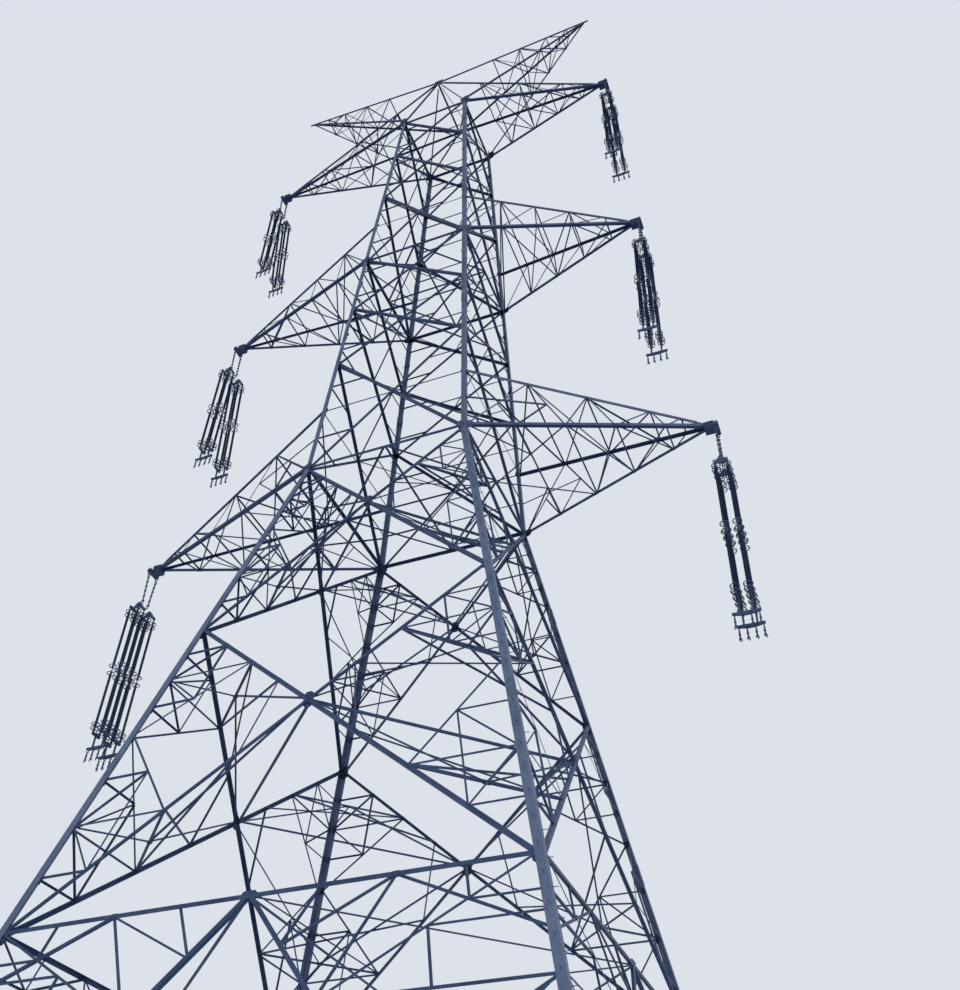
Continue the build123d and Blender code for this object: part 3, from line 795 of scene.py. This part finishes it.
# Insulator sets
def rod_outline(length):
    """Half section of a long rod, from its top cap down: caps at the ends and sheds between."""
    neck = CAP_RADIUS * CAP_NECK
    outline = [(0.0, 0.0), (neck, 0.0), (CAP_RADIUS, -CORNER_ROUND), (CAP_RADIUS, -CAP_LENGTH)]
    outline.append((CORE_RADIUS, -CAP_LENGTH))
    count = int((length - 2 * CAP_LENGTH - SHED_PITCH) / SHED_PITCH)
    first = -(length - (count - 1) * SHED_PITCH) / 2
    for step in range(count):
        height = first - step * SHED_PITCH
        rim = SHED_RADIUS if step % 2 == 0 else SHED_RADIUS * SMALL_SHED
        outline.append((CORE_RADIUS, height + SHED_TOP))
        outline.append((rim, height + SHED_RIM))
        outline.append((CORE_RADIUS, height + SHED_UNDER))
    outline += [(CORE_RADIUS, CAP_LENGTH - length), (CAP_RADIUS, CAP_LENGTH - length)]
    return outline + [(CAP_RADIUS, CORNER_ROUND - length), (neck, -length), (0.0, -length)]


def strap(name, width, length, thickness):
    """Template of a flat link that hangs from the origin, rounded at both ends."""
    half = width / 2
    outline = [(-half, 0), (half, 0), (half, -length), (-half, -length)]
    return slab(name, outline, thickness, rounding=half * 0.8)


def shackle(name, inside, length, wire):
    """Template of a bow shackle, hanging from its pin at the origin."""
    shape = bmesh.new()
    bow = torus("bow", inside, wire, sides=8, sweep=180.0)
    put(shape, bow, at(0, 0, inside - length, Matrix.Rotation(radians(-90), 4, "X")))
    leg = round_bar("shackle_leg", wire, length - inside + wire, SIX_SIDED)
    for side in (-1, 1):
        put(shape, leg, at(side * inside, 0, wire))
    reach = inside + 3 * wire
    pin = round_bar("shackle_pin", wire * SHACKLE_PIN, 2 * reach, SIX_SIDED)
    put(shape, pin, at(-reach, 0, 0, LYING))
    return template(name, shape)


def yoke_plate():
    """Template of the plate that spreads the upper cross bars."""
    wide = STRING_X + YOKE_EDGE
    shoulder = YOKE_EDGE - YOKE_DEPTH
    bottom = -YOKE_DEPTH - YOKE_FOOT
    outline = [(-YOKE_TOP_HALF, 0.0), (YOKE_TOP_HALF, 0.0), (wide, shoulder), (wide, bottom),
               (-wide, bottom), (-wide, shoulder)]
    return slab("yoke", outline, YOKE_T, YOKE_ROUND)


def cross_bar():
    """Template of half a cross bar, two of which hold a pair of strings."""
    half = STRING_Y + CROSS_EDGE
    outline = [(-half, 0), (half, 0), (half, -CROSS_DEPTH), (-half, -CROSS_DEPTH)]
    return slab("cross", outline, CROSS_T, CORNER_ROUND)


def wire_plate():
    """Template of the wide plate that the hooks hang from."""
    outline = [(-YOKE_REACH, 0), (YOKE_REACH, 0), (YOKE_REACH, -WIRE_PLATE_END),
               (WIRE_PLATE_FLAT, -WIRE_PLATE_DEPTH), (-WIRE_PLATE_FLAT, -WIRE_PLATE_DEPTH),
               (-YOKE_REACH, -WIRE_PLATE_END)]
    return slab("wire_plate", outline, CROSS_T, CORNER_ROUND)


def ring_spoke():
    """Template of the bar that holds a ring to its string."""
    outline = [(SPOKE_START, SPOKE_HALF), (RING_RADIUS, SPOKE_HALF), (RING_RADIUS, -SPOKE_HALF),
               (SPOKE_START, -SPOKE_HALF)]
    return slab("spoke", outline, SPOKE_HALF)


def insulator_stock():
    """The parts that every insulator set is made of."""
    return {
        "shackle": shackle("shackle", inside=0.026, length=0.085, wire=0.009),
        "strap": strap("strap", width=0.018, length=STRAP_LENGTH, thickness=0.007),
        "pin": round_bar("pin", radius=0.009, length=PIN_LENGTH),
        "knob": lathe("knob", KNOB_OUTLINE, EIGHT_SIDED),
        "rod": {top: lathe("rod", rod_outline(bottom - top), EIGHT_SIDED) for top, bottom in RODS},
        "ball": lathe("ball", BALL_OUTLINE, EIGHT_SIDED),
        "link": round_bar("link", radius=0.010, length=0.100),
        "ring": torus("ring", RING_RADIUS, RING_WIRE),
        "spoke": ring_spoke(),
        "yoke": yoke_plate(),
        "cross": cross_bar(),
        "clevis": shackle("clevis", inside=0.018, length=0.060, wire=0.007),
        "tie": strap("tie", width=0.036, length=0.300, thickness=0.006),
        "wire_plate": wire_plate(),
        "hook_rod": round_bar("hook_rod", radius=0.016, length=0.200),
        "hook": torus("hook", radius=0.026, wire=0.010, sides=10, sweep=270.0),
    }


def chain_parts(metal, parts, out):
    """Shackles, two parallel straps with their pins, and the link that takes the upper yoke."""
    lean = Matrix.Rotation(-out / YOKE_TOP, 4, "X")
    first, second, last = SHACKLE_DROPS
    put(metal, parts["shackle"], lean @ at(0, 0, -first))
    put(metal, parts["shackle"], lean @ at(0, 0, -second, QUARTER))
    for side in (-PAIR_HALF, PAIR_HALF):
        put(metal, parts["strap"], lean @ at(side, 0, -STRAP_DROP))
    for drop in CHAIN_PINS:
        put(metal, parts["pin"], lean @ at(-PIN_LENGTH / 2, 0, -drop, LYING))
        put(metal, parts["knob"], lean @ at(0, 0, KNOB_HALF - drop))
    put(metal, parts["shackle"], lean @ at(0, 0, -last))


def string_parts(rubber, metal, parts, sx, y):
    """One string of two long rods, with its caps, rings and the links between them."""
    x = sx * STRING_X
    for top, bottom in RODS:
        put(rubber, parts["rod"][top], at(x, y, -top))
        put(metal, parts["ball"], at(x, y, BALL_RAISE - top))
        put(metal, parts["ball"], at(x, y, LOWER_BALL_RAISE - bottom))
    put(metal, parts["link"], at(x, y, LINK_RAISE - RODS[0][1]))
    for height, shift in RINGS:
        centre = at(x - sx * shift, y, -height)
        put(metal, parts["ring"], centre)
        for turn in (0, 180):
            put(metal, parts["spoke"], centre @ Matrix.Rotation(radians(turn), 4, "Z"))


def cross_bars(metal, parts, out, top, clevis_top):
    """The two cross bars over or under the strings, each of two plates, with a clevis for each string."""
    for sx in (-1, 1):
        for gap in (-PAIR_HALF, PAIR_HALF):
            put(metal, parts["cross"], at(sx * STRING_X + gap, out, top, QUARTER))
        for sy in (-1, 1):
            put(metal, parts["clevis"], at(sx * STRING_X, out + sy * STRING_Y, clevis_top))


def upper_yoke(metal, parts, out):
    """Hanging plate, and the two cross bars that carry the four strings."""
    foot = YOKE_TOP + YOKE_DEPTH
    put(metal, parts["yoke"], at(0, out, -YOKE_TOP))
    cross_bars(metal, parts, out, -foot, -foot - CLEVIS_DROP)


def wire_fittings(metal, parts, out):
    """Cross bars under the strings, the ties to the wire plate and its four hanging hooks."""
    cross_bars(metal, parts, out, -STRING_END - LOWER_CROSS_DROP, LOWER_CLEVIS_RAISE - STRING_END)
    for gap in (-TIE_HALF, TIE_HALF):
        put(metal, parts["wire_plate"], at(0, out + gap, -WIRE_YOKE))
        for x in (-STRING_X, STRING_X):
            put(metal, parts["tie"], at(x, out + gap, -STRING_END - TIE_DROP))
    for share in HOOK_SHARES:
        place = at(share * YOKE_REACH, out, -WIRE_YOKE - HOOK_PIN)
        put(metal, parts["shackle"], place @ QUARTER)
        put(metal, parts["hook_rod"], place @ at(0, 0, -HOOK_ROD_DROP))
        for drop in HOOK_KNOBS:
            put(metal, parts["knob"], place @ at(0, 0, -drop))
        put(metal, parts["hook"], place @ at(0, 0, HOOK_RISE - HOOK_DROP, ALONG_LINE))


def insulator_set(parts):
    """The front set as three templates: rods, metal above and metal below."""
    out = HANGER_HALF - SET_HALF
    rods, above, below = bmesh.new(), bmesh.new(), bmesh.new()
    chain_parts(above, parts, out)
    upper_yoke(above, parts, out)
    for sx in (-1, 1):
        for y in (out - STRING_Y, out + STRING_Y):
            string_parts(rods, above, parts, sx, y)
    wire_fittings(below, parts, out)
    return {"long_rods": template("long_rods", rods), "rings": template("rings", above),
            "hooks": template("hooks", below)}


def front_and_back(mesh, hanger, splay):
    """The two sets of one arm, the back one turned half round from the front one."""
    both = bmesh.new()
    leaning = at(0, -HANGER_HALF, 0, Matrix.Rotation(radians(-splay), 4, "X"))
    for turn in (0, 180):
        put(both, mesh, hanger @ Matrix.Rotation(radians(turn), 4, "Z") @ leaning)
    return both


def insulators(finishes):
    """All twelve sets of four strings, in the place of the plain ones."""
    single = insulator_set(insulator_stock())
    for side, sign in (("right", 1), ("left", -1)):
        for phase, splay in SPLAY.items():
            reach, underside = hanger_place(phase, side)
            swing = Matrix.Rotation(radians(sign * SWING[side][phase]), 4, "Y")
            hanger = at(sign * reach, 0, underside - LAP, swing)
            replaced = {"long_rods": f"strings_{phase}_{side}", "hooks": f"wire_yokes_{phase}_{side}"}
            for name, mesh in single.items():
                slot = "string" if name == "long_rods" else "fitting"
                hidden = [replaced[name]] if name in replaced else []
                both = front_and_back(mesh, hanger, splay)
                piece(f"{name}_{phase}_{side}", both, finishes[slot], slot, *hidden)


# Finishes
class Nodes:
    """A node tree under construction: nodes are added by kind and wired by socket name."""

    def __init__(self, owner):
        owner.use_nodes = True
        self.tree = owner.node_tree

    def add(self, kind, options=(), **sockets):
        """A new node; sockets are numbers, colours or the outputs that feed them."""
        node = self.tree.nodes.new("ShaderNode" + kind)
        for option, value in dict(options).items():
            setattr(node, option, value)
        for socket, value in sockets.items():
            self.feed(node, socket.replace("_", " "), value)
        return node

    def feed(self, node, socket, value):
        """Set a socket to a value, or wire an output to it."""
        if isinstance(value, bpy.types.NodeSocket):
            self.tree.links.new(value, node.inputs[socket])
        else:
            node.inputs[socket].default_value = value

    def place(self):
        """Coordinates of the piece, in metres."""
        return self.add("TexCoord").outputs["Object"]

    def arithmetic(self, operation, *values):
        """Outcome of one step of arithmetic."""
        node = self.add("Math", {"operation": operation})
        for number, value in enumerate(values):
            self.feed(node, number, value)
        return node.outputs[0]

    def ramp(self, value, dark, light, ends=(0.0, 1.0)):
        """Colour between a dark and a light one, reached at the two ends of a range of values."""
        node = self.add("ValToRGB", Fac=value)
        for stop, colour, end in zip(node.color_ramp.elements, (dark, light), ends):
            stop.position = end
            stop.color = (*colour, 1.0)
        return node.outputs["Color"]


def surface_of(material, **sockets):
    """Set the plain numbers of a material's shader, and hand it over."""
    shader = material.node_tree.nodes["Principled BSDF"]
    for socket, value in sockets.items():
        shader.inputs[socket.replace("_", " ")].default_value = value
    return shader


def zinc(name, colour, worn, roughness):
    """Weathered zinc: mottled patches, faint spangle and a fine grain, less worn towards the top; the
    colours handed in hold painted backlit shade.
    """
    material = bpy.data.materials.new(name)
    look = Nodes(material)
    surface = surface_of(material, Metallic=0.2, Specular_IOR_Level=0.2, Roughness=roughness)
    place = look.place()
    patches = look.add("TexNoise", Vector=place, Scale=PATCH_SCALE, Detail=6.0, Roughness=0.62)
    patchy = patches.outputs["Fac"]
    spangle = look.add("TexVoronoi", Vector=place, Scale=SPANGLE_SCALE)
    mottle = look.arithmetic("MULTIPLY_ADD", spangle.outputs["Color"], SPANGLE_SHARE, patchy)
    height = look.add("SeparateXYZ", Vector=place).outputs["Z"]
    fade = look.add("MapRange", Value=height, From_Max=TOP_Z, To_Min=WEAR_AT_GROUND, To_Max=WEAR_AT_TOP)
    wear = look.arithmetic("ADD", mottle, fade.outputs["Result"])
    # Both ends of this ramp are zinc colours with painted backlit shade and its blue cast.
    look.feed(surface, "Base Color", look.ramp(wear, colour, worn, WEAR_RANGE))
    grain = look.add("TexNoise", Vector=place, Scale=GRAIN_SCALE, Detail=3.0)
    bump = look.add("Bump", Strength=0.25, Distance=GRAIN_DEPTH, Height=grain.outputs["Fac"])
    look.feed(surface, "Normal", bump.outputs["Normal"])
    return material


def silicone(name):
    """Dark rubber of the sheds, a little dusty, with painted backlit shade in its colour."""
    material = bpy.data.materials.new(name)
    look = Nodes(material)
    surface = surface_of(material, Metallic=0.0, Specular_IOR_Level=0.25, Roughness=0.55)
    dust = look.add("TexNoise", Vector=look.place(), Scale=9.0, Detail=3.0)
    # Both ends of this ramp hold painted backlit shade; the noise between them is dust.
    look.feed(surface, "Base Color", look.ramp(dust.outputs["Fac"], SHADED_SILICONE, SHADED_FITTING_STEEL))
    return material


def finish_nodes():
    """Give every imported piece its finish."""
    finishes = {
        # The colours handed to these finishes hold painted backlit shade and its blue cast.
        "leg_steel": zinc("leg_zinc_painted_shade", SHADED_ZINC_LEG, SHADED_ZINC_WORN, roughness=0.5),
        "lattice_steel": zinc("lattice_zinc_painted_shade", SHADED_ZINC_DARK, SHADED_ZINC_LEG, roughness=0.55),
        "fitting": zinc("fitting_zinc_painted_shade", SHADED_FITTING_STEEL, SHADED_ZINC_LEG, roughness=0.45),
        "string": silicone("shed_silicone_painted_shade"),
    }
    for part in frame["record"]["subparts"]:
        node = frame["nodes"][part["node"]]
        node.data.materials.clear()
        node.data.materials.append(finishes[part["material_slot"]])
    return finishes


# Camera and stage
def camera():
    """The photograph's camera."""
    data = bpy.data.cameras.new("camera")
    data.sensor_width = SENSOR
    data.lens = FOCAL_PIXELS * SENSOR / FRAME_LONG_SIDE
    data.clip_end = VIEW_DEPTH
    seen = bpy.data.objects.new("camera", data)
    turn = Matrix.Rotation(YAW, 4, "Z") @ Matrix.Rotation(radians(90) + PITCH, 4, "X")
    seen.matrix_world = Matrix.Translation(EYE) @ turn @ Matrix.Rotation(ROLL, 4, "Z")
    bpy.context.scene.collection.objects.link(seen)
    bpy.context.scene.camera = seen


def pale_floor():
    """Wide level floor, faintly mottled."""
    material = bpy.data.materials.new("pale_floor")
    look = Nodes(material)
    surface = surface_of(material, Roughness=0.9)
    grain = look.add("TexNoise", Vector=look.place(), Scale=0.6, Detail=4.0)
    dimmer = [FLOOR_SHADE * part for part in PALE]
    look.feed(surface, "Base Color", look.ramp(grain.outputs["Fac"], dimmer, PALE))
    shape = bmesh.new()
    bmesh.ops.create_grid(shape, x_segments=1, y_segments=1, size=FLOOR_HALF)
    mesh = bpy.data.meshes.new("floor")
    shape.to_mesh(mesh)
    shape.free()
    mesh.materials.append(material)
    floor = bpy.data.objects.new("floor", mesh)
    bpy.context.scene.collection.objects.link(floor)


def studio_sky():
    """Even pale light all round, at full strength only where the sky itself is seen."""
    world = bpy.data.worlds.new("studio")
    bpy.context.scene.world = world
    look = Nodes(world)
    path = look.add("LightPath")
    seen = path.outputs["Is Camera Ray"]
    for ray in ("Is Glossy Ray", "Is Transmission Ray"):
        seen = look.arithmetic("MAXIMUM", seen, path.outputs[ray])
    strength = look.add("MapRange", Value=seen, To_Min=SKY_ON_TOWER, To_Max=SKY_SEEN)
    sky = look.tree.nodes["Background"]
    look.feed(sky, "Color", (*PALE, 1.0))
    look.feed(sky, "Strength", strength.outputs["Result"])


def soft_lamp():
    """One broad soft lamp, from high on the front right."""
    lamp = bpy.data.lights.new("soft_lamp", "SUN")
    lamp.energy = LAMP_STRENGTH
    lamp.angle = LAMP_SPREAD
    held = bpy.data.objects.new("soft_lamp", lamp)
    held.matrix_world = Matrix.Rotation(LAMP_TURN, 4, "Z") @ Matrix.Rotation(LAMP_TILT, 4, "X")
    bpy.context.scene.collection.objects.link(held)


camera()
pale_floor()
studio_sky()
soft_lamp()
finishes = finish_nodes()
bars = stock_of_bars()
body_steelwork(bars, finishes)
arms(bars, finishes)
insulators(finishes)

bpy.context.scene.view_settings.view_transform = "Standard"
